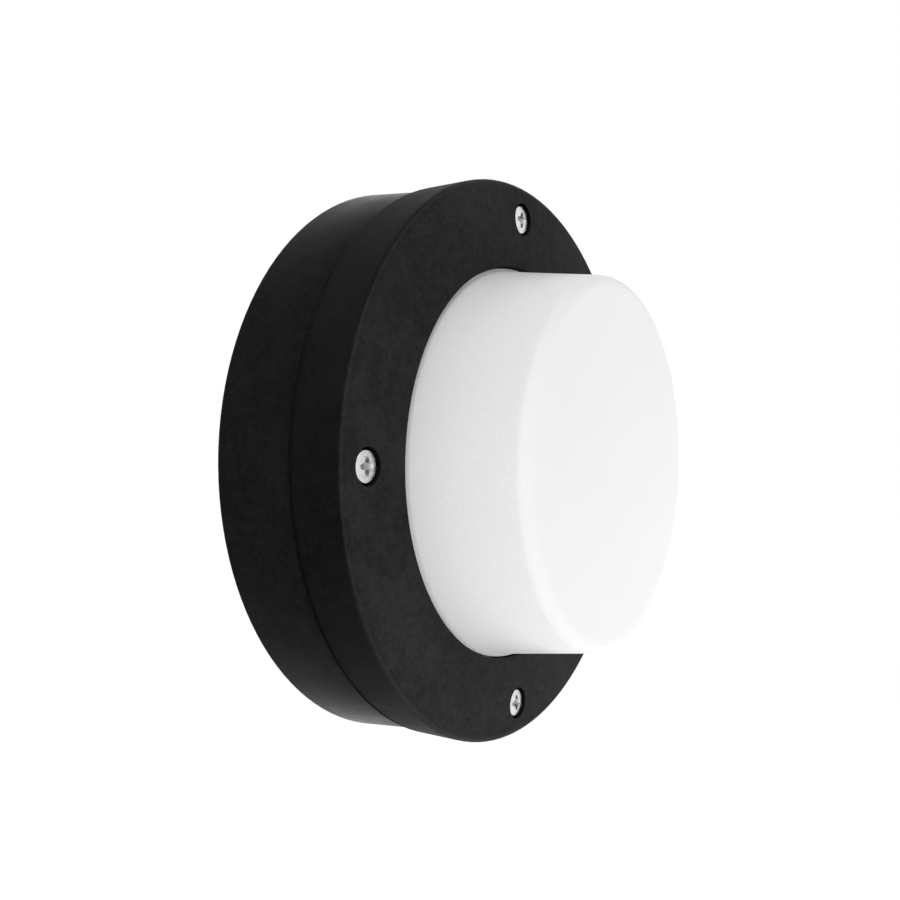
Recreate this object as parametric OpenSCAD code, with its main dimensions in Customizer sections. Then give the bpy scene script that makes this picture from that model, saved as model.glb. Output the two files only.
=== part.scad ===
// Round bulkhead light with a drum-shaped opal lens, fixed to a wall by four screws.
// Sizes are in millimetres. The back lies on the plane Y = 0 with the origin at its
// middle, the light faces -Y and +Z is up. Depths are measured out from the wall.

/* [Bezel] */
// Outside diameter of the bezel
bezel_d = 170; // [150:1:200]
// Width of the flat face, from the bezel's outside to the lens opening
bezel_face_w = 25.2; // [22:0.2:30]
// Thickness of the front wall
bezel_front_t = 4; // [3:0.25:6]
// Thickness of the skirt
bezel_skirt_t = 2.5; // [2:0.1:4]
// Round along the outer front edge
bezel_edge_r = 2.4; // [0.5:0.1:3]
// Round along the front edge of the opening
opening_edge_r = 0.6; // [0.2:0.1:1.5]

/* [Base] */
// Depth of the seam where the base ends
seam_depth = 23.5; // [20:0.5:28]
// Shadow gap between the base and the bezel
seam_gap = 0.6; // [0.3:0.1:2]
// Round along both edges of the gap
seam_edge_r = 0.7; // [0.2:0.1:1]
// How far the base's front stands in from the bezel, on the radius
seam_step = 1; // [0.2:0.1:2]
// How far the base spreads past the bezel at the wall, on the radius
base_flare = 1.2; // [0:0.1:3]
// Thickness of the side wall
base_wall = 3; // [2.5:0.1:5]
// Round along the back edge
base_edge_r = 1; // [0.3:0.1:2]
// Thickness of the floor
floor_t = 2.5; // [2:0.1:4]
// Depth of the hollow in the back
back_recess = 3; // [2:0.25:5]
// Width of the rim that lies on the wall
back_rim_w = 6; // [4:0.5:10]
// Thickness of the stiffening ribs
rib_t = 2; // [1:0.2:3]
// Number of ribs across the back
back_rib_count = 8; // [4:4:16]
// Height of the spigot that centres the bezel
spigot_h = 3.5; // [2:0.25:5]
// Thickness of the spigot
spigot_t = 1.5; // [1:0.1:2.5]
// Gap between the spigot and the bezel's skirt
spigot_clear = 0.3; // [0.1:0.05:0.6]

/* [Lens] */
// How far the lens stands out from the bezel's face
lens_out = 32.2; // [20:0.2:50]
// How much narrower the lens is at the front than at the bezel, on the radius
lens_taper = 4.2; // [1:0.2:8]
// Gap between the opening and the lens wall
lens_gap = 1.4; // [0.8:0.1:3]
// Round along the front edge
lens_edge_r = 3.8; // [1:0.1:5]
// Round along the front edge on the inside
lens_inner_r = 2; // [0.5:0.1:3]
// Thickness of the lens wall
lens_wall = 2; // [1.5:0.1:3]
// Thickness of the flange that the bezel clamps
lens_flange_t = 3; // [2:0.1:5]
// How far the collar round the lens stays below the bezel's face
collar_sink = 1.5; // [0.5:0.1:3]
// Gap between the collar and the opening
collar_clear = 0.4; // [0.2:0.1:0.7]
// Height of the flare from the collar up into the lens wall
lens_flare = 1.5; // [1:0.25:6]

/* [Bezel screws] */
// Number of bezel screws
screw_count = 4; // [3:1:6]
// Distance of the screws from the bezel's outside
screw_inset = 10; // [9:0.25:13]
// Thread diameter
screw_d = 4; // [3:0.5:5]
// Length under the head
screw_len = 25; // [20:1:28]
// Head diameter
screw_head_d = 8; // [6:0.5:9]
// Head height
screw_head_h = 3.1; // [2:0.1:4]
// How far the head lies below the bezel's face
screw_head_sink = 0.4; // [0:0.1:1.5]
// Diameter of the counterbore for the head
counterbore_d = 9.8; // [9.2:0.1:12]
// Diameter of the columns under the bezel
column_d = 10; // [8:0.5:12]
// Diameter of the bosses on the base
boss_d = 9; // [7:0.5:12]

/* [Seal] */
// Width of the gasket
seal_w = 3; // [2:0.25:5]
// Height of the gasket
seal_h = 3; // [2.5:0.25:5]
// Depth of its groove
seal_groove = 2; // [1:0.25:2.25]
// Wall on each side of the groove
seal_lip = 1; // [0.8:0.1:2]
// Gap between the lens flange and the screw columns
flange_clear = 1; // [0.5:0.1:2]

/* [Wall fixings] */
// Diameter of the fixing holes
fixing_d = 5; // [4:0.25:7]
// Diameter of the pads round them
fixing_pad_d = 14; // [10:0.5:18]

/* [Cable entry] */
// Bore of the grommet
cable_d = 8; // [6:0.5:12]
// Hole in the floor
entry_d = 20; // [16:0.5:25]
// Width of the grommet's flanges
grommet_flange_w = 3; // [2:0.25:5]
// Thickness of the grommet's flanges
grommet_flange_t = 1.8; // [1:0.1:2]
// Thickness of the collar round the entry
entry_collar_t = 3; // [2:0.25:5]

/* [Gear tray] */
// Sheet thickness
tray_t = 1; // [0.6:0.1:2]
// Height of the turned-up lip
tray_lip = 6; // [4:0.25:10]
// Inside radius of the bend
tray_bend_r = 1.5; // [0.5:0.1:3]
// Gap between the tray and the seal wall
tray_clear = 1.5; // [0.8:0.1:3]
// Gap between the lip and the lens flange
tray_lip_gap = 1.5; // [0.5:0.1:3]
// Space between the gear and the tray
gear_clear = 3; // [2.5:0.25:6]
// Diameter of the posts that carry the tray
post_d = 7.5; // [6:0.25:9]
// Distance of the posts from the seal wall
post_inset = 7.5; // [7:0.25:9]
// Number of posts
post_count = 4; // [2:2:4]
// Hole for the leads
lead_hole_d = 10; // [8:0.5:14]

/* [Small screws] */
// Thread diameter
small_d = 3; // [2.5:0.5:3.5]
// Length under the head
small_len = 8; // [6:0.5:9]
// Head diameter
small_head_d = 5.6; // [5:0.1:6.5]
// Head height
small_head_h = 2.2; // [1.5:0.1:3]

/* [LED board] */
// Width of bare tray left round the board
board_margin = 17.5; // [14:0.5:24]
// Thickness of the board
board_t = 1.6; // [1:0.1:2.5]
// Number of board screws
board_screw_count = 3; // [3:1:4]
// Distance of the screws from the board's edge
board_screw_inset = 5; // [4:0.25:7]
// Length of an LED
chip_l = 3.5; // [2:0.1:5]
// Width of an LED
chip_w = 2.8; // [1.5:0.1:5]
// Height of an LED
chip_h = 0.8; // [0.5:0.1:2]
// Number of LEDs in the outer ring
outer_chips = 18; // [6:3:24]
// Number of LEDs in the inner ring
inner_chips = 9; // [3:3:15]
// Place of the outer ring between the connector and the board screws
outer_ring_share = 0.75; // [0.7:0.01:0.85]
// Place of the inner ring between them
inner_ring_share = 0.35; // [0.2:0.01:0.4]

/* [Board connector] */
// Length along the leads
connector_l = 8; // [6:0.25:9]
// Width across the leads
connector_w = 7; // [6:0.25:9]
// Height above the board
connector_h = 4.5; // [4:0.25:7]
// Gap between the lead hole and the connector
connector_gap = 2.5; // [1:0.25:4]

/* [Driver] */
// Length of the case
driver_l = 64; // [50:1:72]
// Width of the case
driver_w = 28; // [22:0.5:32]
// Height of the case
driver_h = 18; // [15:0.5:26]
// Round on the upright edges
driver_edge_r = 3; // [1:0.25:5]
// Gap between the grommet and the gear beside it
gear_gap = 2; // [1:0.25:4]

/* [Fixing ears] */
// Length of an ear
ear_l = 8; // [7:0.25:10]
// Width of an ear
ear_w = 9; // [8:0.25:12]
// Thickness of an ear
ear_t = 2.5; // [2:0.1:4]
// Height of the ears above the floor
ear_lift = 6; // [5:0.25:8]
// Diameter of the posts under the ears
ear_post_d = 7; // [6:0.25:8]

/* [Terminal block] */
// Distance between poles
pole_pitch = 12; // [10:0.25:14]
// Width of a pole
pole_w = 8.4; // [7.5:0.1:9.5]
// Round on the poles' upright edges
pole_edge_r = 1; // [0.4:0.1:2]
// Width of the block along the wires
block_w = 17; // [14:0.5:20]
// Height of the block
block_h = 14; // [12:0.5:18]
// Thickness of the strip between poles
strip_t = 3; // [2:0.25:5]
// Outside diameter of the brass tubes
tube_d = 5; // [4.5:0.1:6]
// Bore of the brass tubes
tube_bore_d = 3; // [2.7:0.1:3.6]
// Height of the tubes' axis above the floor
tube_axis_h = 6; // [4.5:0.25:8]
// Diameter of the clamp screws
clamp_d = 3; // [2:0.25:3.5]
// Length of the clamp screws
clamp_len = 5; // [3:0.25:6]

/* [Earth bond] */
// Thread diameter of the earth screw
earth_d = 4; // [3:0.5:5]
// Width of the nut across its flats
nut_af = 7; // [6:0.25:9]
// Thickness of the nut
nut_t = 3.2; // [2:0.1:5]
// Thickness of the ring tag
tag_t = 0.8; // [0.5:0.1:1.2]
// Outside diameter of the ring
tag_d = 8.4; // [7.5:0.1:11]
// Distance of the screw from the tray's edge
earth_inset = 8.5; // [7:0.25:10]

/* [Wires] */
// Diameter of the supply wires over their insulation
core_d = 2.2; // [1.5:0.1:2.4]
// Diameter of the LED leads over their insulation
lead_d = 1.6; // [1:0.1:2]
// How far a wire reaches into its terminal
wire_seat = 4; // [2:0.25:5]

/* [Hidden] */
$fn = 96;

// Straight steps in a rounded edge
arc_steps = 8;

// Allowances
// Radial gap round a screw in the hole it bites into
thread_clear = 0.05;
// Radial gap round a screw in the hole it passes through
hole_clear = 0.25;
// Room left under the tip of a screw
tip_room = 1.5;
// Radial gap of a piece that is pushed into its seat
seat_clear = 0.1;
// Length by which shapes run into each other before they are joined
join = 1;
// Length by which a cutting shape runs past the surface
past = 1;

// Radii from the lamp's axis
bezel_r = bezel_d / 2;
opening_r = bezel_r - bezel_face_w;
screw_r = bezel_r - screw_inset;
base_rear_r = bezel_r + base_flare;
base_front_r = bezel_r - seam_step;
spigot_r = bezel_r - bezel_skirt_t - spigot_clear;
flange_r = screw_r - column_d / 2 - flange_clear;
seal_r = flange_r - seal_lip - seal_w / 2;
cavity_r = seal_r - seal_w / 2 - seal_lip;
tray_r = cavity_r - tray_clear;
post_r = cavity_r - post_inset;
lens_root_r = opening_r - lens_gap;
lens_front_r = lens_root_r - lens_taper;
board_r = tray_r - board_margin;
board_screw_r = board_r - board_screw_inset;
connector_x = lead_hole_d / 2 + connector_gap;
connector_end = connector_x + connector_l;
ring_room = board_screw_r - small_head_d / 2 - connector_end;
outer_ring_r = connector_end + ring_room * outer_ring_share;
inner_ring_r = connector_end + ring_room * inner_ring_share;
grommet_flange_r = entry_d / 2 + grommet_flange_w;
earth_r = tray_r - earth_inset;

// Depths out from the wall
floor_s = back_recess + floor_t;
tray_s = floor_s + max(driver_h, block_h) + gear_clear;
board_s = tray_s + tray_t;
chip_s = board_s + board_t;
flange_s = tray_s + tray_lip + tray_lip_gap;
lens_seat_s = flange_s + lens_flange_t;
face_s = lens_seat_s + bezel_front_t;
lens_front_s = face_s + lens_out;
screw_seat_s = face_s - screw_head_h - screw_head_sink;
screw_tip_s = screw_seat_s - screw_len;
seal_floor_s = flange_s - seal_h;
seal_top_s = seal_floor_s + seal_groove;
skirt_s = seam_depth + seam_gap;
spigot_top_s = seam_depth + spigot_h;
ear_s = floor_s + ear_lift;
tube_s = floor_s + tube_axis_h;

// Angles round the lamp's axis, from the right-hand side
screw_turn = 90;
fixing_turn = screw_turn + 180 / screw_count;
earth_turn = -35;
board_screw_turn = 30;

// Places on the floor, right and up from the middle
pole_count = 3;
driver_y = grommet_flange_r + gear_gap + driver_w / 2;
block_y = -(grommet_flange_r + gear_gap + block_w / 2);
block_l = pole_count * pole_pitch;
driver_ear_x = driver_l / 2 + ear_l / 2;
block_ear_x = block_l / 2 + ear_l / 2;
earth_x = earth_r * cos(earth_turn);
earth_y = earth_r * sin(earth_turn);

// Terminals and the wires between them
tube_inset = 1;
tube_l = block_w - 2 * tube_inset;
clamp_y = block_w / 4;
pole_x = [for (i = [0 : pole_count - 1]) (i - (pole_count - 1) / 2) * pole_pitch];
driver_wire_y = driver_w / 7;
driver_wire_s = floor_s + driver_h - core_d - tip_room;
connector_s = chip_s + connector_h / 2;
lead_y = connector_w / 4;
live_swing = post_r - post_d / 2 - 3 * core_d;
neutral_swing = live_swing + 2 * core_d;

// Ring tag: the way its barrel points, the barrel's length and where it ends
tag_turn = 205;
barrel_l = 5;
tag_reach = tag_d / 2 + tag_t + barrel_l;
barrel_drop = core_d / 2 + seat_clear;
barrel_x = earth_x + tag_reach * cos(tag_turn);
barrel_y = earth_y + tag_reach * sin(tag_turn);

// Shares of a pan head: its straight side, its cross recess across and down, the recess's
// floor and the width of the cross's arms at the middle and at their tips
head_side = 0.85;
cross_reach = 0.66;
cross_depth = 0.6;
cross_floor = 0.35;
cross_middle = 0.34;
cross_tip = 0.1;
// Share of a clamp screw's diameter that its slot takes
slot_share = 0.2;

// Wires: corners round a wire, steps between two points of its route, a direction that no
// wire starts along and the turns at which the supply wires pass round the gear
wire_corners = 8;
wire_steps = 4;
wire_hint = [0.3, 0.5, 0.8];
route_turns = [240, 215, 185];

// Stands a shape drawn on the wall plane, with depth along z, upright behind the light
module upright() {
    rotate([90, 0, 0]) children();
}

// Repeats a shape round the lamp's axis
module ring_of(count, radius, turn = 0) {
    for (i = [0 : count - 1])
        rotate(turn + i * 360 / count) translate([radius, 0, 0]) children();
}

// Section of a ring between two radii and two depths
module band(inner, outer, low, high) {
    translate([inner, low]) square([outer - inner, high - low]);
}

// Points along an arc, from one angle to another
function arc(x, y, r, from, to) = [
    for (k = [0 : arc_steps]) let(a = from + (to - from) * k / arc_steps) [x + r * cos(a), y + r * sin(a)]
];

// Rounded front edge of a drum whose wall leans in
function drum_edge(front_r, front_s, edge_r, lean) =
    arc(front_r + edge_r * (tan(lean) - 1 / cos(lean)), front_s - edge_r, edge_r, lean, 90);

// Rectangle with round corners
module rounded_plate(l, w, r) {
    square([l - 2 * r, w], center = true);
    square([l, w - 2 * r], center = true);
    for (x = [-1, 1], y = [-1, 1])
        translate([x * (l / 2 - r), y * (w / 2 - r)]) circle(r);
}

// Cross recess with tapered arms, cut down from z = 0
module cross_recess(head_d, head_h) {
    reach = head_d * cross_reach / 2;
    depth = head_h * cross_depth;
    intersection() {
        translate([0, 0, -depth]) linear_extrude(depth + past) for (turn = [0, 90])
            rotate(turn) cross_arms(reach, head_d * cross_middle / 2, head_d * cross_tip / 2);
        translate([0, 0, -depth]) cylinder(h = depth, r1 = reach * cross_floor, r2 = reach);
    }
}

// Two opposite arms of the cross, given half their widths
module cross_arms(reach, middle, tip) {
    polygon([[reach, -tip], [reach, tip], [0, middle], [-reach, tip], [-reach, -tip], [0, -middle]]);
}

// Pan-head screw with its head's seat at z = 0 and its shank down
module pan_screw(d, len, head_d, head_h) {
    drop = head_h * (1 - head_side);
    neck = head_h * (1 - cross_depth) / 2;
    dome_r = (head_d * head_d / 4 + drop * drop) / (2 * drop);
    difference() {
        rotate_extrude() intersection() {
            square([head_d / 2, head_h]);
            translate([0, head_h - dome_r]) circle(dome_r);
        }
        translate([0, 0, head_h]) cross_recess(head_d, head_h);
    }
    translate([0, 0, d / 2 - len]) cylinder(h = len - d / 2 + neck, d = d);
    translate([0, 0, -len]) cylinder(h = d / 2, d1 = d / 2, d2 = d);
}

module small_screw(len) {
    pan_screw(small_d, len, small_head_d, small_head_h);
}

// Post with a blind hole for a small screw that reaches down to screw_tip
module screw_post(d, top, screw_tip) {
    difference() {
        translate([0, 0, floor_s - join]) cylinder(h = top - floor_s + join, d = d);
        translate([0, 0, screw_tip - tip_room])
            cylinder(h = top - screw_tip + tip_room + past, r = small_d / 2 + thread_clear);
    }
}

// Fixing ear with its hole, centred on its post
module ear() {
    translate([0, 0, ear_s]) difference() {
        linear_extrude(ear_t) square([ear_l, ear_w], center = true);
        translate([0, 0, -past]) cylinder(h = ear_t + 2 * past, r = small_d / 2 + hole_clear);
    }
}

// Points of a smooth curve through the given ones
function curve_point(a, b, c, d, t) =
    0.5 * (2 * b + (c - a) * t + (2 * a - 5 * b + 4 * c - d) * t * t + (3 * b - a - 3 * c + d) * t * t * t);
function smooth(p, steps) = let(last = len(p) - 1) [
    for (i = [0 : last - 1], k = [0 : steps - 1])
        curve_point(p[max(i - 1, 0)], p[i], p[i + 1], p[min(i + 2, last)], k / steps),
    p[last]
];
function unit(v) = v / norm(v);
function headings(p) = let(last = len(p) - 1) [
    for (i = [0 : last]) unit(p[min(i + 1, last)] - p[max(i - 1, 0)])
];
function across(v, along) = unit(v - (v * along) * along);
function sides_of(t) = [
    for (i = 0, n = across(wire_hint, t[0]); i < len(t); i = i + 1, n = across(n, t[min(i, len(t) - 1)])) n
];

// Wire swept along a smooth curve through the given points
module wire(points, d) {
    corners = wire_corners;
    path = smooth(points, wire_steps);
    heading = headings(path);
    side = sides_of(heading);
    rings = len(path);
    polyhedron(
        points = [
            for (i = [0 : rings - 1], k = [0 : corners - 1])
                path[i] + d / 2 * (cos(k * 360 / corners) * side[i]
                    + sin(k * 360 / corners) * cross(heading[i], side[i]))
        ],
        faces = concat(
            [[for (k = [0 : corners - 1]) k]],
            [[for (k = [corners - 1 : -1 : 0]) (rings - 1) * corners + k]],
            [
                for (i = [0 : rings - 2], k = [0 : corners - 1]) let(next = (k + 1) % corners) [
                    i * corners + k, (i + 1) * corners + k, (i + 1) * corners + next, i * corners + next
                ]
            ]
        ),
        convexity = 10
    );
}

// Moulded rear housing
module base() {
    color("#1d1d1f") upright() difference() {
        union() {
            rotate_extrude() base_section();
            base_bosses();
            base_posts();
            back_relief();
        }
        ring_of(screw_count, screw_r, screw_turn) translate([0, 0, screw_tip_s - tip_room])
            cylinder(h = seam_depth - screw_tip_s + tip_room + past, r = screw_d / 2 + thread_clear);
        ring_of(screw_count, screw_r, screw_turn) translate([0, 0, seam_depth])
            cylinder(h = spigot_h + past, r = column_d / 2 + spigot_clear);
        ring_of(screw_count, screw_r, fixing_turn) translate([0, 0, -past])
            cylinder(h = floor_s + 2 * past, d = fixing_d);
        translate([0, 0, -past]) cylinder(h = floor_s + 2 * past, d = entry_d);
    }
}

// Side wall, rim, floor, spigot and seal wall, turned about the lamp's axis
module base_section() {
    lean = atan2(base_rear_r - base_front_r, seam_depth);
    edge_x = base_rear_r - base_edge_r * (tan(lean) + 1 / cos(lean));
    rim_r = base_rear_r - back_rim_w;
    polygon(concat(
        [[rim_r, 0]],
        arc(edge_x, base_edge_r, base_edge_r, -90, lean),
        drum_edge(base_front_r, seam_depth, seam_edge_r, lean),
        [
            [base_front_r - base_wall, seam_depth],
            [base_rear_r - base_wall, floor_s],
            [rim_r, floor_s]
        ]
    ));
    band(0, rim_r + join, back_recess, floor_s);
    band(spigot_r - spigot_t, spigot_r, seam_depth - spigot_h, spigot_top_s);
    difference() {
        band(cavity_r, flange_r, floor_s - join, seal_top_s);
        band(seal_r - seal_w / 2, seal_r + seal_w / 2, seal_floor_s, seal_top_s + past);
    }
}

// Bosses for the bezel screws, each tied to the side wall by a rib
module base_bosses() {
    rib_l = base_front_r - base_wall / 2 - screw_r;
    ring_of(screw_count, screw_r, screw_turn) {
        translate([0, 0, floor_s - join]) cylinder(h = seam_depth - floor_s + join, d = boss_d);
        translate([0, -rib_t / 2, floor_s - join])
            cube([rib_l, rib_t, seam_depth - spigot_h - floor_s + join]);
    }
}

// Posts for the tray, the driver and the terminal block
module base_posts() {
    ring_of(post_count, post_r) {
        screw_post(post_d, tray_s, board_s - small_len);
        translate([post_d / 2 - join, -rib_t / 2, floor_s - join])
            cube([post_inset - post_d / 2 + 2 * join, rib_t, tray_s - floor_s - tray_lip + join]);
    }
    for (side = [-1, 1]) {
        translate([side * driver_ear_x, driver_y, 0])
            screw_post(ear_post_d, ear_s, ear_s + ear_t - small_len);
        translate([side * block_ear_x, block_y, 0])
            screw_post(ear_post_d, ear_s, ear_s + ear_t - small_len);
    }
}

// Ribs, fixing pads and cable collar in the hollow of the back
module back_relief() {
    collar_r = grommet_flange_r + spigot_clear;
    rotate_extrude() band(collar_r, collar_r + entry_collar_t, 0, back_recess + join);
    ring_of(back_rib_count, 0, fixing_turn) translate([collar_r + join, -rib_t / 2, 0])
        cube([base_rear_r - back_rim_w - collar_r, rib_t, back_recess + join]);
    ring_of(screw_count, screw_r, fixing_turn) cylinder(h = back_recess + join, d = fixing_pad_d);
}

// Front ring that clamps the lens
module bezel() {
    color("#232325") upright() difference() {
        union() {
            rotate_extrude() bezel_section();
            bezel_columns();
        }
        ring_of(screw_count, screw_r, screw_turn) {
            translate([0, 0, seam_depth - past])
                cylinder(h = face_s - seam_depth + 2 * past, r = screw_d / 2 + hole_clear);
            translate([0, 0, screw_seat_s]) cylinder(h = face_s - screw_seat_s + past, d = counterbore_d);
        }
    }
}

// Flat face and skirt, turned about the lamp's axis
module bezel_section() {
    polygon(concat(
        [[opening_r, lens_seat_s]],
        arc(opening_r + opening_edge_r, face_s - opening_edge_r, opening_edge_r, 180, 90),
        arc(bezel_r - bezel_edge_r, face_s - bezel_edge_r, bezel_edge_r, 90, 0),
        arc(bezel_r - seam_edge_r, skirt_s + seam_edge_r, seam_edge_r, 0, -90),
        [
            [bezel_r - bezel_skirt_t, skirt_s],
            [bezel_r - bezel_skirt_t, lens_seat_s]
        ]
    ));
}

// Columns that carry the screws down to the base's bosses
module bezel_columns() {
    rib_s = spigot_top_s + spigot_clear;
    ring_of(screw_count, screw_r, screw_turn) {
        translate([0, 0, seam_depth]) cylinder(h = lens_seat_s - seam_depth + join, d = column_d);
        translate([0, -rib_t / 2, rib_s])
            cube([screw_inset - bezel_skirt_t / 2, rib_t, lens_seat_s - rib_s + join]);
    }
}

// Opal drum that flares into a collar in the opening, with a flange under the bezel
module lens() {
    lean = atan2(lens_taper, lens_out);
    collar_r = opening_r - collar_clear;
    flare_s = face_s - collar_sink + lens_flare;
    flare_w = collar_r - wall_r(flare_s, 0);
    low = flange_s - past;
    high = lens_front_s - lens_wall;
    color("#f2f2ee") upright() rotate_extrude() difference() {
        polygon(concat(
            [[0, flange_s], [flange_r, flange_s], [flange_r, lens_seat_s], [collar_r, lens_seat_s]],
            [
                for (k = [0 : arc_steps]) let(a = 90 * k / arc_steps)
                    [collar_r - flare_w * sin(a), flare_s - lens_flare * cos(a)]
            ],
            drum_edge(lens_front_r, lens_front_s, lens_edge_r, lean),
            [[0, lens_front_s]]
        ));
        polygon(concat(
            [[0, low], [wall_r(low, lens_wall), low]],
            drum_edge(wall_r(high, lens_wall), high, lens_inner_r, lean),
            [[0, high]]
        ));
    }
}

// Radius of the leaning lens wall at depth s, or of the surface a thickness t inside it
function wall_r(s, t) =
    let(slope = lens_taper / lens_out) lens_root_r - slope * (s - face_s) - t * sqrt(1 + slope * slope);

// Gasket under the lens flange
module seal_ring() {
    color("#5a5a5a") upright() rotate_extrude()
        band(seal_r - seal_w / 2 + seat_clear, seal_r + seal_w / 2 - seat_clear, seal_floor_s, flange_s);
}

module bezel_screws() {
    color("#c9cccf") upright() ring_of(screw_count, screw_r, screw_turn) translate([0, 0, screw_seat_s])
        rotate(-screw_turn) pan_screw(screw_d, screw_len, screw_head_d, screw_head_h);
}

// Rubber grommet that grips the floor between two flanges
module cable_grommet() {
    color("#2b2b2b") upright() rotate_extrude() difference() {
        union() {
            band(0, entry_d / 2 - seat_clear, back_recess - join, floor_s + join);
            band(0, grommet_flange_r, back_recess - grommet_flange_t, back_recess);
            band(0, grommet_flange_r, floor_s, floor_s + grommet_flange_t);
        }
        band(0, cable_d / 2, 0, floor_s + grommet_flange_t + past);
    }
}

// Sheet-steel tray with a turned-up lip, which is also the reflector
module gear_tray() {
    bend_x = tray_r - tray_t - tray_bend_r;
    bend_y = board_s + tray_bend_r;
    color("#f4f4f2") upright() difference() {
        rotate_extrude() polygon(concat(
            [[0, tray_s]],
            arc(bend_x, bend_y, tray_bend_r + tray_t, -90, 0),
            [[tray_r, tray_s + tray_lip], [tray_r - tray_t, tray_s + tray_lip]],
            arc(bend_x, bend_y, tray_bend_r, 0, -90),
            [[0, board_s]]
        ));
        ring_of(post_count, post_r) tray_hole(small_d / 2 + hole_clear);
        ring_of(board_screw_count, board_screw_r, board_screw_turn) tray_hole(small_d / 2 + thread_clear);
        translate([earth_x, earth_y, 0]) tray_hole(earth_d / 2 + hole_clear);
        tray_hole(lead_hole_d / 2);
    }
}

module tray_hole(r) {
    translate([0, 0, tray_s - past]) cylinder(h = tray_t + 2 * past, r = r);
}

module tray_screws() {
    color("#c9cccf") upright() ring_of(post_count, post_r)
        translate([0, 0, board_s]) small_screw(small_len);
}

module led_board() {
    color("#fafafa") upright() difference() {
        translate([0, 0, board_s]) cylinder(h = board_t, r = board_r);
        ring_of(board_screw_count, board_screw_r, board_screw_turn) board_hole(small_d / 2 + hole_clear);
        board_hole(lead_hole_d / 2);
    }
}

module board_hole(r) {
    translate([0, 0, board_s - past]) cylinder(h = board_t + 2 * past, r = r);
}

module led_chips() {
    color("#f0d858") upright() {
        ring_of(outer_chips, outer_ring_r) chip();
        ring_of(inner_chips, inner_ring_r) chip();
    }
}

module chip() {
    translate([-chip_w / 2, -chip_l / 2, chip_s]) cube([chip_w, chip_l, chip_h]);
}

module board_screws() {
    reach = board_t + tray_t + small_d / 2;
    color("#c9cccf") upright() ring_of(board_screw_count, board_screw_r, board_screw_turn)
        translate([0, 0, chip_s]) small_screw(reach);
}

// Two-pole connector whose entries face the lead hole
module board_connector() {
    color("#eceae4") upright() difference() {
        translate([connector_x, -connector_w / 2, chip_s]) cube([connector_l, connector_w, connector_h]);
        for (side = [-1, 1])
            translate([connector_x - past, side * lead_y, connector_s]) rotate([0, 90, 0])
                cylinder(h = wire_seat + past + tip_room, r = lead_d / 2 + seat_clear);
    }
}

// Sealed driver with an ear at each end
module led_driver() {
    color("#e6e6e2") upright() difference() {
        union() {
            translate([0, driver_y, floor_s]) linear_extrude(driver_h)
                rounded_plate(driver_l, driver_w, driver_edge_r);
            for (side = [-1, 1])
                translate([side * driver_ear_x, driver_y, 0]) {
                    ear();
                    translate([-side * ear_l / 2, 0, ear_s + ear_t / 2])
                        cube([2 * join, ear_w, ear_t], center = true);
                }
        }
        for (side = [-1, 1], row = [-1, 1])
            translate([side * (driver_l / 2 + past), driver_y + row * driver_wire_y, driver_wire_s])
                rotate([0, -side * 90, 0])
                    cylinder(h = wire_seat + tip_room + past, r = core_d / 2 + seat_clear);
    }
}

module driver_screws() {
    color("#c9cccf") upright() ear_screws(driver_ear_x, driver_y);
}

module ear_screws(x, y) {
    for (side = [-1, 1])
        translate([side * x, y, ear_s + ear_t]) small_screw(small_len);
}

// Three-pole block with raised poles and an ear at each end
module terminal_block() {
    color("#f5f5f0") upright() difference() {
        union() {
            translate([-block_l / 2, block_y - block_w / 2, floor_s]) cube([block_l, block_w, strip_t]);
            for (x = pole_x)
                translate([x, block_y, floor_s]) linear_extrude(block_h)
                    rounded_plate(pole_w, block_w, pole_edge_r);
            for (side = [-1, 1])
                translate([side * block_ear_x, block_y, 0]) {
                    ear();
                    translate([-side * (ear_l / 2 + (pole_pitch - pole_w) / 4), 0, ear_s + ear_t / 2])
                        cube([pole_pitch - pole_w, ear_w, ear_t], center = true);
                }
        }
        for (x = pole_x) {
            translate([x, block_y, tube_s]) rotate([90, 0, 0])
                cylinder(h = block_w + 2 * past, r = tube_d / 2 + seat_clear, center = true);
            clamp_places(x) translate([0, 0, tube_s])
                cylinder(h = block_h - tube_axis_h + past, r = clamp_d / 2 + hole_clear);
        }
    }
}

// The two clamp screw places of the pole at x
module clamp_places(x) {
    for (side = [-1, 1])
        translate([x, block_y + side * clamp_y, 0]) children();
}

module terminal_tubes() {
    color("#c8a24a") upright() for (x = pole_x)
        difference() {
            translate([x, block_y, tube_s]) rotate([90, 0, 0]) difference() {
                cylinder(h = tube_l, d = tube_d, center = true);
                cylinder(h = tube_l + 2 * past, d = tube_bore_d, center = true);
            }
            clamp_places(x) translate([0, 0, tube_s])
                cylinder(h = tube_d / 2 + past, r = clamp_d / 2 + thread_clear);
        }
}

// Slotted clamp screws that stand just above the wires
module clamp_screws() {
    color("#b9bcc0") upright() for (x = pole_x)
        clamp_places(x) translate([0, 0, tube_s + core_d / 2 + seat_clear]) difference() {
            cylinder(h = clamp_len, d = clamp_d);
            translate([0, 0, clamp_len])
                cube([clamp_d + past, clamp_d * slot_share, clamp_d / 2], center = true);
        }
}

module terminal_fixing_screws() {
    color("#c9cccf") upright() ear_screws(block_ear_x, block_y);
}

module earth_screw() {
    reach = tray_t + tag_t + nut_t + tip_room;
    color("#c8a24a") upright() translate([earth_x, earth_y, board_s])
        pan_screw(earth_d, reach, earth_d * 2, small_head_h);
}

module earth_nut() {
    color("#c8a24a") upright() translate([earth_x, earth_y, tray_s - tag_t - nut_t]) difference() {
        cylinder(h = nut_t, d = nut_af / cos(30), $fn = 6);
        translate([0, 0, -past]) cylinder(h = nut_t + 2 * past, r = earth_d / 2 + thread_clear);
    }
}

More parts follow.
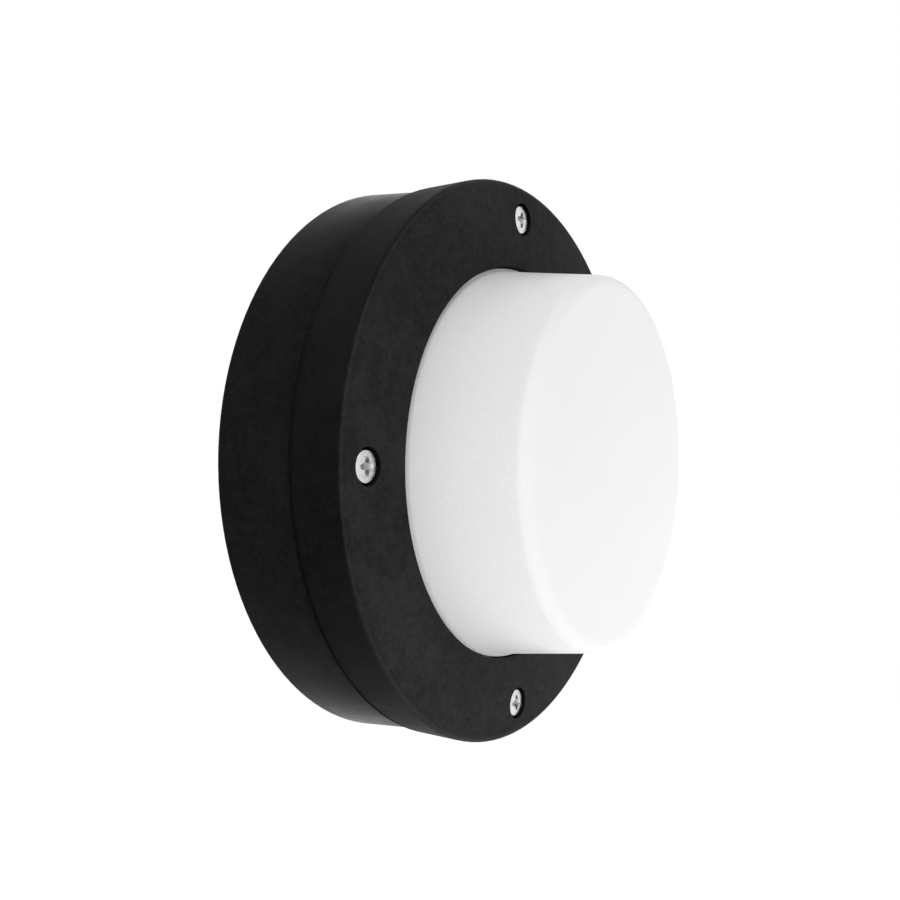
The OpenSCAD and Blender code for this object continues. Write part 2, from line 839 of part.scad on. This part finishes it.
// Ring tag with a barrel crimped round the end of the earth wire
module earth_tag() {
    color("#d8b65c") upright() translate([earth_x, earth_y, tray_s - tag_t]) {
        difference() {
            union() {
                cylinder(h = tag_t, d = tag_d);
                rotate(tag_turn) translate([0, -core_d / 2, 0]) cube([tag_reach, core_d, tag_t]);
            }
            translate([0, 0, -past]) cylinder(h = tag_t + 2 * past, r = earth_d / 2 + hole_clear);
        }
        rotate(tag_turn) translate([tag_reach - barrel_l, 0, -barrel_drop]) rotate([0, 90, 0])
            difference() {
                cylinder(h = barrel_l, r = core_d / 2 + seat_clear + tag_t);
                translate([0, 0, -past]) cylinder(h = barrel_l + 2 * past, r = core_d / 2 + seat_clear);
            }
    }
}

// Route of a supply wire from its pole to the driver, at the given distance from the middle,
// with a straight run before the driver
function supply_route(x, y_end, swing, run) = [
    [x, block_y - tube_l / 2 + wire_seat, tube_s],
    [x, block_y - block_w / 2, tube_s],
    [x, block_y - block_w / 2 - core_d, tube_s],
    swing * [cos(route_turns[0]), sin(route_turns[0]), 0] + [0, 0, tube_s],
    swing * [cos(route_turns[1]), sin(route_turns[1]), 0] + [0, 0, (tube_s + driver_wire_s) / 2],
    swing * [cos(route_turns[2]), sin(route_turns[2]), 0] + [0, 0, driver_wire_s],
    [-driver_l / 2 - run, y_end, driver_wire_s],
    [-driver_l / 2 - run / 2, y_end, driver_wire_s],
    [-driver_l / 2, y_end, driver_wire_s],
    [-driver_l / 2 + wire_seat, y_end, driver_wire_s]
];

module live_wire() {
    color("#7a4a2a") upright()
        wire(supply_route(pole_x[0], driver_y - driver_wire_y, live_swing, ear_l / 2), core_d);
}

module neutral_wire() {
    color("#2f5fb0") upright()
        wire(supply_route(pole_x[1], driver_y + driver_wire_y, neutral_swing, ear_l), core_d);
}

module earth_wire() {
    tag_s = tray_s - tag_t - barrel_drop;
    color("#5f9a3c") upright() wire([
        [pole_x[2], block_y - tube_l / 2 + wire_seat, tube_s],
        [pole_x[2], block_y - block_w / 2, tube_s],
        [pole_x[2], block_y - block_w / 2 - core_d, tube_s],
        [pole_x[2] + core_d, block_y - block_w / 2 - 3 * core_d, (tube_s + tag_s) / 2],
        [barrel_x + barrel_l * cos(tag_turn), barrel_y + barrel_l * sin(tag_turn), tag_s],
        [barrel_x, barrel_y, tag_s],
        [barrel_x - barrel_l * cos(tag_turn), barrel_y - barrel_l * sin(tag_turn), tag_s]
    ], core_d);
}

// Route of an LED lead from the driver, under the tray and up through the lead hole
function lead_route(row) = [
    [driver_l / 2 - wire_seat, driver_y + row * driver_wire_y, driver_wire_s],
    [driver_l / 2, driver_y + row * driver_wire_y, driver_wire_s],
    [driver_l / 2 + ear_l / 2, driver_y + row * driver_wire_y, driver_wire_s],
    [driver_l / 2 + ear_l + row * lead_d, driver_y - driver_w / 4, driver_wire_s],
    [driver_l / 2 + row * lead_d, -row * lead_y + lead_d, driver_wire_s],
    [driver_l / 4, -row * lead_y, driver_wire_s],
    [lead_d, -row * lead_y, tray_s - lead_d],
    [0, -row * lead_y, chip_s],
    [connector_gap, -row * lead_y, connector_s],
    [connector_x - lead_d, -row * lead_y, connector_s],
    [connector_x, -row * lead_y, connector_s],
    [connector_x + wire_seat, -row * lead_y, connector_s]
];

module led_lead_positive() {
    color("#b02a2a") upright() wire(lead_route(1), lead_d);
}

module led_lead_negative() {
    color("#222222") upright() wire(lead_route(-1), lead_d);
}

base();
bezel();
lens();
seal_ring();
bezel_screws();
cable_grommet();
gear_tray();
tray_screws();
led_board();
led_chips();
board_screws();
board_connector();
led_driver();
driver_screws();
terminal_block();
terminal_tubes();
clamp_screws();
terminal_fixing_screws();
earth_screw();
earth_nut();
earth_tag();
live_wire();
neutral_wire();
earth_wire();
led_lead_positive();
led_lead_negative();
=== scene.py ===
"""Bulkhead light: looks, studio and camera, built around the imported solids."""
import math

import bpy
from mathutils import Matrix, Vector


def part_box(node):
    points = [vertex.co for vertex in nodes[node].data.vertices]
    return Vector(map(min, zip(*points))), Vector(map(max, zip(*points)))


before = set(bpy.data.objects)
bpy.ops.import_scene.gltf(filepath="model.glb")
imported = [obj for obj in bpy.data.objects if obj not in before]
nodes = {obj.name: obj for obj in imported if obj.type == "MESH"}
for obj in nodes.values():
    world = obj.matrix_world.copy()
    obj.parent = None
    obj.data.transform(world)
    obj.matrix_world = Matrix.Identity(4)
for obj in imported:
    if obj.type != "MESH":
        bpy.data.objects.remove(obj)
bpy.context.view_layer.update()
scene = bpy.context.scene

# All lengths are in metres. A band is a centre, then how far from it an amount holds and where it ends.

WHITE = (1, 1, 1, 1)

# Parts of a noise where most of its values lie
MIDDLE = (0.3, 0.7)
MOTTLE = (0.33, 0.67)
NARROW = (0.35, 0.65)

# Seam between base and bezel: depth of its dark line of painted shade, out from the wall, how far the line
# moves to the front toward the bottom, and the bands of the line and of the duller plastic beside it
SEAM = 0.0242
SEAM_SHIFT = 0.0009
SEAM_SHADE_BAND = (-SEAM, 0.0004, 0.0015)
SEAM_BESIDE = (-SEAM, 0.001, 0.016)

# Strength of the seam's painted shade line where it faces down and up, the upward parts of the normal
# there, and how dull the plastic is beside it
SEAM_STRENGTH = (0.85, 0.4)
SEAM_TURN = (-0.6, 0.6)
SEAM_DULL = 0.6

# Specular level of clean and of dull plastic, and the part of it left in the painted shade line on the
# underside
GLOSS = (0.5, 0.1)
SEAM_GLOSS = 0.6

# Heights over which the underside's look fades out: its deeper, shifted painted seam shade, its painted
# edge highlight and the painted edge shade left off
UNDERSIDE = (-0.064, -0.0085)

# Scales of the noise in black plastic, the shift that sets where its broad patches fall, and the
# range of all of it together
FINE_GRAIN = 1500
COARSE_GRAIN = 600
FLOW_MARKS = 140
BROAD_PATCHES = 22
PATCH_SHIFT = (0.31, 0.17, 0.23)
TONE_RANGE = (0.80, 1.15)

# How much bluer than grey black plastic is on its sides, and on its front and back
SIDE_TINT = 0.03
FACE_TINT = 0.02

# How far the tone of black plastic swings, on its sides, and on its front and back
SIDE_SWING = 0.34
FACE_SWING = 0.3

# Tones as multiples of a grey: painted sheen on what faces up and painted shade in the seam, of the
# side's, ejector marks of the back's and painted edge highlights of the front's, with the upward parts of
# the normal over which the painted sheen comes in
SHEEN_TONE = 3
SEAM_SHADE_TONE = 0.2
PIN_TONE = 0.4
EDGE_HIGHLIGHT_TONE = 2.2
SHEEN_TURN = (-0.1, 0.9)

# Parts of the normal along the depth, -1 to the front and 1 to the wall: ranges where the front and
# the back, painted paler as light on them, begin, and on the front's rounded edge the bands of the painted
# shade line, the painted highlight line and the painted highlight on the underside
FRONT = (-0.66, -0.42)
BACK = (0.5, 0.9)
EDGE_SHADE_BAND = (-0.88, 0.02, 0.10)
FRONT_EDGE_HIGHLIGHT = (-0.66, 0, 0.12)
UNDERSIDE_EDGE_HIGHLIGHT = (-0.45, 0.25, 0.42)

# Edges painted paler as highlight: radius that the highlight takes in, how far the eased normal turns
# there, and how much of it the grain lets through
EDGE_HIGHLIGHT_RADIUS = 0.0009
EDGE_HIGHLIGHT_TURN = (0.80, 0.985)
EDGE_HIGHLIGHT_SHARE = (0.1, 0.4)

# Ejector pins: ribs that they lie between, radii of the circles they stand on, the band round a pin's
# middle that its ring fills, and the ring's strength
RIBS = 8
PIN_CIRCLES = (0.034, 0.060)
PIN_RING = (0.003, 0.0001, 0.0004)
PIN_STRENGTH = 0.6

# Opal plastic: colours of the body and of the frosted side, the parts of the normal along the depth
# where the side begins, the range of roughness and scales of its noise
OPAL_DARK = (0.920, 0.920, 0.916, 1)
OPAL_LIGHT = (0.940, 0.940, 0.935, 1)
OPAL_FROST = (0.898, 0.898, 0.894, 1)
OPAL_SIDE = (-0.5, -0.2)
OPAL_ROUGH = (0.30, 0.40)
OPAL_CLOUD = 45
OPAL_SPECK = 900
OPAL_GRAIN = 1300

# Bezel screws: radius of the circle they stand on, colours of the plating and of the painted shade in the
# recess, range of roughness, the depth, radius and strength of the recess's painted shade, and scales of
# the turning rings and the mottling
SCREW_CIRCLE = 0.075
PLATE_DARK = (0.62, 0.63, 0.65, 1)
PLATE_LIGHT = (0.84, 0.85, 0.86, 1)
RECESS_SHADE_COLOUR = (0.22, 0.22, 0.23, 1)
PLATE_ROUGH = (0.22, 0.40)
RECESS_DEPTH = (0.0003, 0.0010)
RECESS_RADIUS = (0.0026, 0.0029)
RECESS_SHADE_STRENGTH = 0.8
TURNING_RINGS = 6000
PLATE_CLOUD = 900

# Depths of the relief in a skin: moulded grain and fine
GRAIN_DEPTH = 0.00009
FINE_DEPTH = 0.00002

# Brightness of the world and the floor, as they light the part and as they are seen
WORLD_LIGHT = (0.46, 1.0)
FLOOR_LIGHT = (0.01, 0.60)
FLOOR_SIZE = 12
FLOOR_HEIGHT = -0.75

# Soft lamps: place, size across and power in watts
LAMPS = {
    "right": ((0.34, -0.36, -0.16), 0.3, 0.8),
    "left": ((-0.95, -0.30, 0.0), 0.7, 2.8),
    "above": ((-0.30, -0.35, 0.85), 0.7, 2.35),
    "below": ((-0.20, -0.50, -0.55), 0.4, 1.35),
    "rear": ((0.45, 1.1, 0.5), 0.9, 7.0),
}

# Camera at the photograph's viewpoint: turn, tilt and roll in degrees, place, sensor width and focal
# length in millimetres, upward shift and nearest distance seen
CAMERA_ANGLES = (-56.364, 2.6315, 0.4364)
CAMERA_PLACE = (-0.24574, -0.17823, 0.003785)
SENSOR = 36
FOCAL = 36.13
SHIFT = 0.04785
NEAREST = 0.01


# Shader helpers
def put(tree, kind, inputs=None, **settings):
    made = tree.nodes.new("ShaderNode" + kind)
    for key, value in settings.items():
        setattr(made, key, value)
    for key, value in (inputs or {}).items():
        if isinstance(value, bpy.types.NodeSocket):
            tree.links.new(value, made.inputs[key])
        else:
            made.inputs[key].default_value = value
    return made


def calc(tree, operation, *values):
    return put(tree, "Math", dict(enumerate(values)), operation=operation).outputs[0]


def spread(tree, fac, low, high, start=0.0, end=1.0):
    inputs = {"Value": fac, "From Min": start, "From Max": end, "To Min": low, "To Max": high}
    return put(tree, "MapRange", inputs).outputs["Result"]


# An amount within a band of values, which fades to nothing at the band's end
def near(tree, value, amount, band):
    centre, start, end = band
    off = calc(tree, "ABSOLUTE", calc(tree, "SUBTRACT", value, centre))
    return spread(tree, off, amount, 0, start, end)


def length(tree, a, b):
    squares = calc(tree, "ADD", calc(tree, "POWER", a, 2), calc(tree, "POWER", b, 2))
    return calc(tree, "SQRT", squares)


def split(tree, vector):
    return put(tree, "SeparateXYZ", {"Vector": vector}).outputs


def blend(tree, fac, a, b):
    made = put(tree, "Mix", {0: fac, 6: a, 7: b}, data_type="RGBA")
    return made.outputs[2]


def grey(value, tint):
    return (value, value, value * (1 + tint), 1)


def shades(tree, tone, value, swing, tint):
    return blend(tree, tone, grey(value * (1 - swing), tint), grey(value * (1 + swing), tint))


def noise(tree, vector, scale, detail, roughness=0.55):
    inputs = {"Vector": vector, "Scale": scale, "Detail": detail, "Roughness": roughness}
    return put(tree, "TexNoise", inputs).outputs["Fac"]


def total(tree, *parts):
    result = None
    for value, weight in parts:
        part = calc(tree, "MULTIPLY", value, weight)
        result = calc(tree, "ADD", result, part) if result else part
    return result


def begin(name, **sockets):
    material = bpy.data.materials.new(name)
    material.use_nodes = True
    tree = material.node_tree
    shader = tree.nodes["Principled BSDF"]
    for key, value in sockets.items():
        shader.inputs[key.replace("_", " ")].default_value = value
    return material, tree, shader


def feed(tree, shader, **sockets):
    for key, value in sockets.items():
        tree.links.new(value, shader.inputs[key.replace("_", " ")])


def position(tree):
    return put(tree, "TexCoord").outputs["Object"]


def bump(tree, shader, height, depth, strength):
    inputs = {"Height": height, "Distance": depth, "Strength": strength}
    feed(tree, shader, Normal=put(tree, "Bump", inputs).outputs["Normal"])


# 1 for rays that show a surface, straight, mirrored or through glass, and 0 for rays that light others
def seen(tree):
    path = put(tree, "LightPath").outputs
    mirrored = calc(tree, "MAXIMUM", path["Is Glossy Ray"], path["Is Transmission Ray"])
    return calc(tree, "MAXIMUM", path["Is Camera Ray"], mirrored)


# Rings that ejector pins leave on the hidden back, midway between its ribs
def pin_marks(tree, axes):
    sector = 2 * math.pi / RIBS
    angle = calc(tree, "ARCTAN2", axes["Z"], axes["X"])
    angle = calc(tree, "MODULO", calc(tree, "ADD", angle, RIBS * sector), sector)
    angle = calc(tree, "SUBTRACT", angle, sector / 2)
    reach = length(tree, axes["X"], axes["Z"])
    along = calc(tree, "MULTIPLY", reach, calc(tree, "COSINE", angle))
    aside = calc(tree, "MULTIPLY", reach, calc(tree, "SINE", angle))
    mark = None
    for circle in PIN_CIRCLES:
        far = length(tree, calc(tree, "SUBTRACT", along, circle), aside)
        ring = near(tree, far, 1, PIN_RING)
        mark = calc(tree, "MAXIMUM", mark, ring) if mark else ring
    return mark


# Moulded black plastic: spark-eroded grain, faint flow mottling and broad patches, a front and back
# painted greyer than the sides as light on them, a painted sheen on what faces up, a dark seam of painted
# shade with less gloss beside it, edges painted paler as highlight and a painted shade line on the front's
# edge
def black_plastic(name, side, front, back, edge_light_and_shade, sheen_on_top, rough, ior):
    material, tree, shader = begin(name, IOR=ior)
    place = position(tree)
    axes = split(tree, place)
    normal = put(tree, "NewGeometry").outputs["Normal"]
    heading = split(tree, normal)
    out = heading["Y"]
    low = spread(tree, axes["Z"], 1, 0, *UNDERSIDE)

    # Tone
    fine = noise(tree, place, FINE_GRAIN, detail=3.0)
    coarse = noise(tree, place, COARSE_GRAIN, detail=4.0)
    flow = noise(tree, place, FLOW_MARKS, detail=4.0, roughness=0.6)
    shifted = put(tree, "VectorMath", {0: place, 1: PATCH_SHIFT}).outputs["Vector"]
    patch = noise(tree, shifted, BROAD_PATCHES, detail=1.0)
    tone = total(tree, (fine, 0.4), (coarse, 0.55), (flow, 0.5), (patch, 0.5))
    tone = spread(tree, tone, 0, 1, *TONE_RANGE)

    # Greys of sides, front and back: the paler front and back are painted light, and the sides' paler
    # upward part is a painted sheen
    ahead = spread(tree, out, 1, 0, *FRONT)
    behind = spread(tree, out, 0, 1, *BACK)
    # Painted sheen: sides paler where they face up
    top_sheen = spread(tree, heading["Z"], 0, sheen_on_top, *SHEEN_TURN)
    sides = shades(tree, tone, side, SIDE_SWING, SIDE_TINT)
    sides = blend(tree, top_sheen, sides, grey(side * SHEEN_TONE, FACE_TINT))
    fronts = shades(tree, tone, front, FACE_SWING, FACE_TINT)
    backs = shades(tree, tone, back, FACE_SWING, FACE_TINT)
    body = blend(tree, behind, blend(tree, ahead, sides, fronts), backs)

    # Painted shade: a darker line on the front's rounded edge, except on the underside
    edge_shade = near(tree, out, edge_light_and_shade, EDGE_SHADE_BAND)
    edge_shade = calc(tree, "MULTIPLY", edge_shade, spread(tree, low, 1, 0))
    body = blend(tree, edge_shade, body, grey(side, SIDE_TINT))

    # Painted shade in the seam: a dark line, deepest on the underside
    line = total(tree, (axes["Y"], 1), (low, SEAM_SHIFT))
    deep = calc(tree, "MAXIMUM", low, spread(tree, heading["Z"], *SEAM_STRENGTH, *SEAM_TURN))
    shaded = calc(tree, "MULTIPLY", near(tree, line, 1, SEAM_SHADE_BAND), deep)
    body = blend(tree, shaded, body, grey(side * SEAM_SHADE_TONE, SIDE_TINT))

    # Gloss, less near the seam and least in the painted shade line on the underside, which darkens that
    # line further
    dull = calc(tree, "MAXIMUM", shaded, near(tree, axes["Y"], SEAM_DULL, SEAM_BESIDE))
    left = spread(tree, calc(tree, "MULTIPLY", shaded, low), 1, SEAM_GLOSS)
    gloss = calc(tree, "MULTIPLY", spread(tree, dull, *GLOSS), left)

    # Ejector marks
    mark = calc(tree, "MULTIPLY", behind, pin_marks(tree, axes))
    stain = calc(tree, "MULTIPLY", mark, PIN_STRENGTH)
    body = blend(tree, stain, body, grey(back * PIN_TONE, FACE_TINT))

    # Painted highlights: paler edges, a highlight line on the front's edge and a paler edge on the
    # underside
    eased = put(tree, "Bevel", {"Radius": EDGE_HIGHLIGHT_RADIUS}, samples=6).outputs["Normal"]
    turned = put(tree, "VectorMath", {0: eased, 1: normal}, operation="DOT_PRODUCT").outputs["Value"]
    uneven = spread(tree, coarse, *EDGE_HIGHLIGHT_SHARE, *MIDDLE)
    edge_highlight = calc(tree, "MULTIPLY", spread(tree, turned, 1, 0, *EDGE_HIGHLIGHT_TURN), uneven)
    edge_highlight = calc(tree, "MAXIMUM", edge_highlight, near(tree, out, edge_light_and_shade, FRONT_EDGE_HIGHLIGHT))
    under_highlight = near(tree, out, 2 * edge_light_and_shade, UNDERSIDE_EDGE_HIGHLIGHT)
    under_highlight = calc(tree, "MULTIPLY", under_highlight, calc(tree, "POWER", low, 2))
    edge_highlight = calc(tree, "MAXIMUM", edge_highlight, under_highlight)
    body = blend(tree, edge_highlight, body, grey(front * EDGE_HIGHLIGHT_TONE, FACE_TINT))

    roughness = spread(tree, flow, *rough, *MIDDLE)
    feed(tree, shader, Base_Color=body, Specular_IOR_Level=gloss, Roughness=roughness)
    relief = total(tree, (fine, 0.65), (coarse, 0.35), (mark, -1.0))
    bump(tree, shader, relief, GRAIN_DEPTH, strength=0.5)
    return material


# Opal lens plastic: light spreads a little way in, the skin is satin with a faint swirl, and the
# side is frosted
def opal_plastic(name):
    material, tree, shader = begin(
        name, Specular_IOR_Level=0.3, Subsurface_Weight=0.15, Subsurface_Scale=0.003,
        Subsurface_Radius=(1, 1, 1),
    )
    place = position(tree)
    cloud = noise(tree, place, OPAL_CLOUD, detail=4.0)
    speck = noise(tree, place, OPAL_SPECK, detail=2.0)
    tone = spread(tree, total(tree, (cloud, 0.6), (speck, 0.4)), 0, 1, *NARROW)
    body = blend(tree, tone, OPAL_DARK, OPAL_LIGHT)
    out = split(tree, put(tree, "NewGeometry").outputs["Normal"])["Y"]
    frost = spread(tree, noise(tree, place, OPAL_GRAIN, detail=2.0), 0, 1, *NARROW)
    frost = calc(tree, "MULTIPLY", frost, spread(tree, out, 0, 1, *OPAL_SIDE))
    body = blend(tree, frost, body, OPAL_FROST)
    feed(tree, shader, Base_Color=body, Roughness=spread(tree, cloud, *OPAL_ROUGH, *MIDDLE))
    bump(tree, shader, speck, FINE_DEPTH, strength=0.4)
    return material


# A surface with mottled colour, uneven gloss and its own grain
def surface(name, dark, light, blotch, rough, grain, depth=FINE_DEPTH, **sockets):
    material, tree, shader = begin(name, **sockets)
    place = position(tree)
    cloud = noise(tree, place, blotch, detail=4.0)
    fine = noise(tree, place, grain, detail=3.0)
    body = blend(tree, spread(tree, cloud, 0, 1, *MOTTLE), (*dark, 1), (*light, 1))
    feed(tree, shader, Base_Color=body, Roughness=spread(tree, fine, *rough, *MIDDLE))
    bump(tree, shader, fine, depth, strength=0.5)
    return material


# Zinc-plated screws on the bezel: fine turning rings round each screw's own axis and painted shade in the
# recess
def plated_screws(name, circle, top):
    material, tree, shader = begin(name, Metallic=1.0)
    place = position(tree)
    axes = split(tree, place)
    x = calc(tree, "ABSOLUTE", axes["X"])
    z = calc(tree, "ABSOLUTE", axes["Z"])
    along = calc(tree, "SUBTRACT", calc(tree, "MAXIMUM", x, z), circle)
    radius = length(tree, along, calc(tree, "MINIMUM", x, z))
    turned = {"W": calc(tree, "MULTIPLY", radius, TURNING_RINGS), "Detail": 2.0}
    rings = put(tree, "TexNoise", turned, noise_dimensions="1D").outputs["Fac"]
    cloud = noise(tree, place, PLATE_CLOUD, detail=4.0)
    tone = total(tree, (rings, 0.4), (cloud, 0.6))
    body = blend(tree, spread(tree, tone, 0, 1, *NARROW), PLATE_DARK, PLATE_LIGHT)
    # Painted shade in the cross recess, darker deeper in
    sunk = spread(tree, calc(tree, "SUBTRACT", axes["Y"], top), 0, RECESS_SHADE_STRENGTH, *RECESS_DEPTH)
    dull = calc(tree, "MULTIPLY", sunk, spread(tree, radius, 1, 0, *RECESS_RADIUS))
    body = blend(tree, dull, body, RECESS_SHADE_COLOUR)
    feed(tree, shader, Base_Color=body, Roughness=spread(tree, cloud, *PLATE_ROUGH, *MIDDLE))
    bump(tree, shader, tone, FINE_DEPTH, strength=0.5)
    return material


def dress(material, *names):
    for name in names:
        nodes[name].material_slots[0].material = material


# Outside
dress(
    black_plastic("base_plastic", side=0.0089, front=0.0095, back=0.021, edge_light_and_shade=0.0, sheen_on_top=0.0,
                  rough=(0.22, 0.32), ior=1.078),
    "base",
)
dress(
    black_plastic("bezel_plastic", side=0.0067, front=0.0226, back=0.012, edge_light_and_shade=0.16, sheen_on_top=0.5,
                  rough=(0.40, 0.52), ior=1.070),
    "bezel",
)
dress(opal_plastic("lens_opal"), "lens")
dress(plated_screws("bezel_screw_zinc", SCREW_CIRCLE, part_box("bezel_screws")[0][1]), "bezel_screws")

# Inside and back
dress(
    surface("small_screw_zinc", (0.58, 0.59, 0.60), (0.80, 0.80, 0.80), blotch=700, rough=(0.24, 0.42),
            grain=2500, Metallic=1.0),
    "tray_screws", "board_screws", "driver_screws", "clamp_screws", "terminal_fixing_screws",
)
dress(
    surface("turned_brass", (0.62, 0.43, 0.16), (0.83, 0.64, 0.29), blotch=500, rough=(0.22, 0.40),
            grain=2600, Metallic=1.0),
    "terminal_tubes", "earth_screw", "earth_nut", "earth_tag",
)
dress(
    surface("seal_silicone", (0.15, 0.15, 0.15), (0.24, 0.24, 0.24), blotch=220, rough=(0.55, 0.75),
            grain=1400, depth=0.00006),
    "seal_ring",
)
dress(
    surface("grommet_rubber", (0.016, 0.016, 0.017), (0.032, 0.032, 0.032), blotch=260, rough=(0.50, 0.72),
            grain=1600, depth=0.00006, Specular_IOR_Level=0.25),
    "cable_grommet",
)
dress(
    surface("tray_enamel", (0.80, 0.80, 0.79), (0.90, 0.90, 0.89), blotch=160, rough=(0.28, 0.42),
            grain=620, depth=0.00003),
    "gear_tray",
)
dress(
    surface("board_mask", (0.82, 0.82, 0.81), (0.92, 0.92, 0.91), blotch=300, rough=(0.35, 0.50),
            grain=1800),
    "led_board",
)
dress(
    surface("led_phosphor", (0.72, 0.52, 0.10), (0.92, 0.76, 0.24), blotch=1200, rough=(0.30, 0.45),
            grain=3000),
    "led_chips",
)
dress(
    surface("moulded_nylon", (0.74, 0.73, 0.69), (0.86, 0.85, 0.81), blotch=200, rough=(0.40, 0.58),
            grain=1700, depth=0.00004, Subsurface_Weight=0.1, Subsurface_Scale=0.002),
    "terminal_block", "board_connector",
)
dress(
    surface("driver_case", (0.70, 0.70, 0.68), (0.80, 0.80, 0.78), blotch=180, rough=(0.48, 0.64),
            grain=1300, depth=0.00007),
    "led_driver",
)
wires = {
    "live_wire": ((0.13, 0.05, 0.02), (0.21, 0.085, 0.035)),
    "neutral_wire": ((0.02, 0.09, 0.36), (0.04, 0.14, 0.48)),
    "earth_wire": ((0.09, 0.28, 0.04), (0.15, 0.38, 0.07)),
    "led_lead_positive": ((0.40, 0.02, 0.02), (0.54, 0.04, 0.03)),
    "led_lead_negative": ((0.012, 0.012, 0.013), (0.024, 0.024, 0.024)),
}
for wire, (dark, light) in wires.items():
    dress(surface(wire + "_pvc", dark, light, blotch=350, rough=(0.30, 0.46), grain=2200), wire)

# Studio: white surroundings, a pale floor well below and soft lights
world = bpy.data.worlds.new("studio")
scene.world = world
world.use_nodes = True
sky = world.node_tree.nodes["Background"]
sky.inputs["Color"].default_value = WHITE
feed(world.node_tree, sky, Strength=spread(world.node_tree, seen(world.node_tree), *WORLD_LIGHT))

bpy.ops.mesh.primitive_plane_add(size=FLOOR_SIZE, location=(0, 0, FLOOR_HEIGHT))
floor = bpy.context.object
floor.name = "floor"
paint, tree, shader = begin(
    "floor_paint", Base_Color=(0.9, 0.9, 0.9, 1), Roughness=0.9, Specular_IOR_Level=0.0,
    Emission_Color=WHITE,
)
feed(tree, shader, Emission_Strength=spread(tree, seen(tree), *FLOOR_LIGHT))
floor.data.materials.append(paint)


def softbox(name, place, size, power):
    lamp = bpy.data.lights.new(name, "AREA")
    lamp.shape = "SQUARE"
    lamp.size = size
    lamp.energy = power
    made = bpy.data.objects.new(name, lamp)
    scene.collection.objects.link(made)
    made.location = place
    made.visible_glossy = False
    made.rotation_euler = (-Vector(place)).to_track_quat("-Z", "Y").to_euler()


for lamp_name, (lamp_place, lamp_size, lamp_power) in LAMPS.items():
    softbox(lamp_name, lamp_place, lamp_size, lamp_power)

# Camera
turn, tilt, roll = (math.radians(angle) for angle in CAMERA_ANGLES)
back = Vector((math.sin(turn) * math.cos(tilt), -math.cos(turn) * math.cos(tilt), math.sin(tilt)))
level = Vector((math.cos(turn), math.sin(turn), 0))
upward = back.cross(level)
right = math.cos(roll) * level + math.sin(roll) * upward
up = math.cos(roll) * upward - math.sin(roll) * level
optics = bpy.data.cameras.new("camera")
optics.sensor_width = SENSOR
optics.lens = FOCAL
optics.shift_y = SHIFT
optics.clip_start = NEAREST
camera = bpy.data.objects.new("camera", optics)
scene.collection.objects.link(camera)
facing = Matrix((right, up, back)).transposed().to_4x4()
camera.matrix_world = Matrix.Translation(CAMERA_PLACE) @ facing
scene.camera = camera

scene.view_settings.view_transform = "Standard"
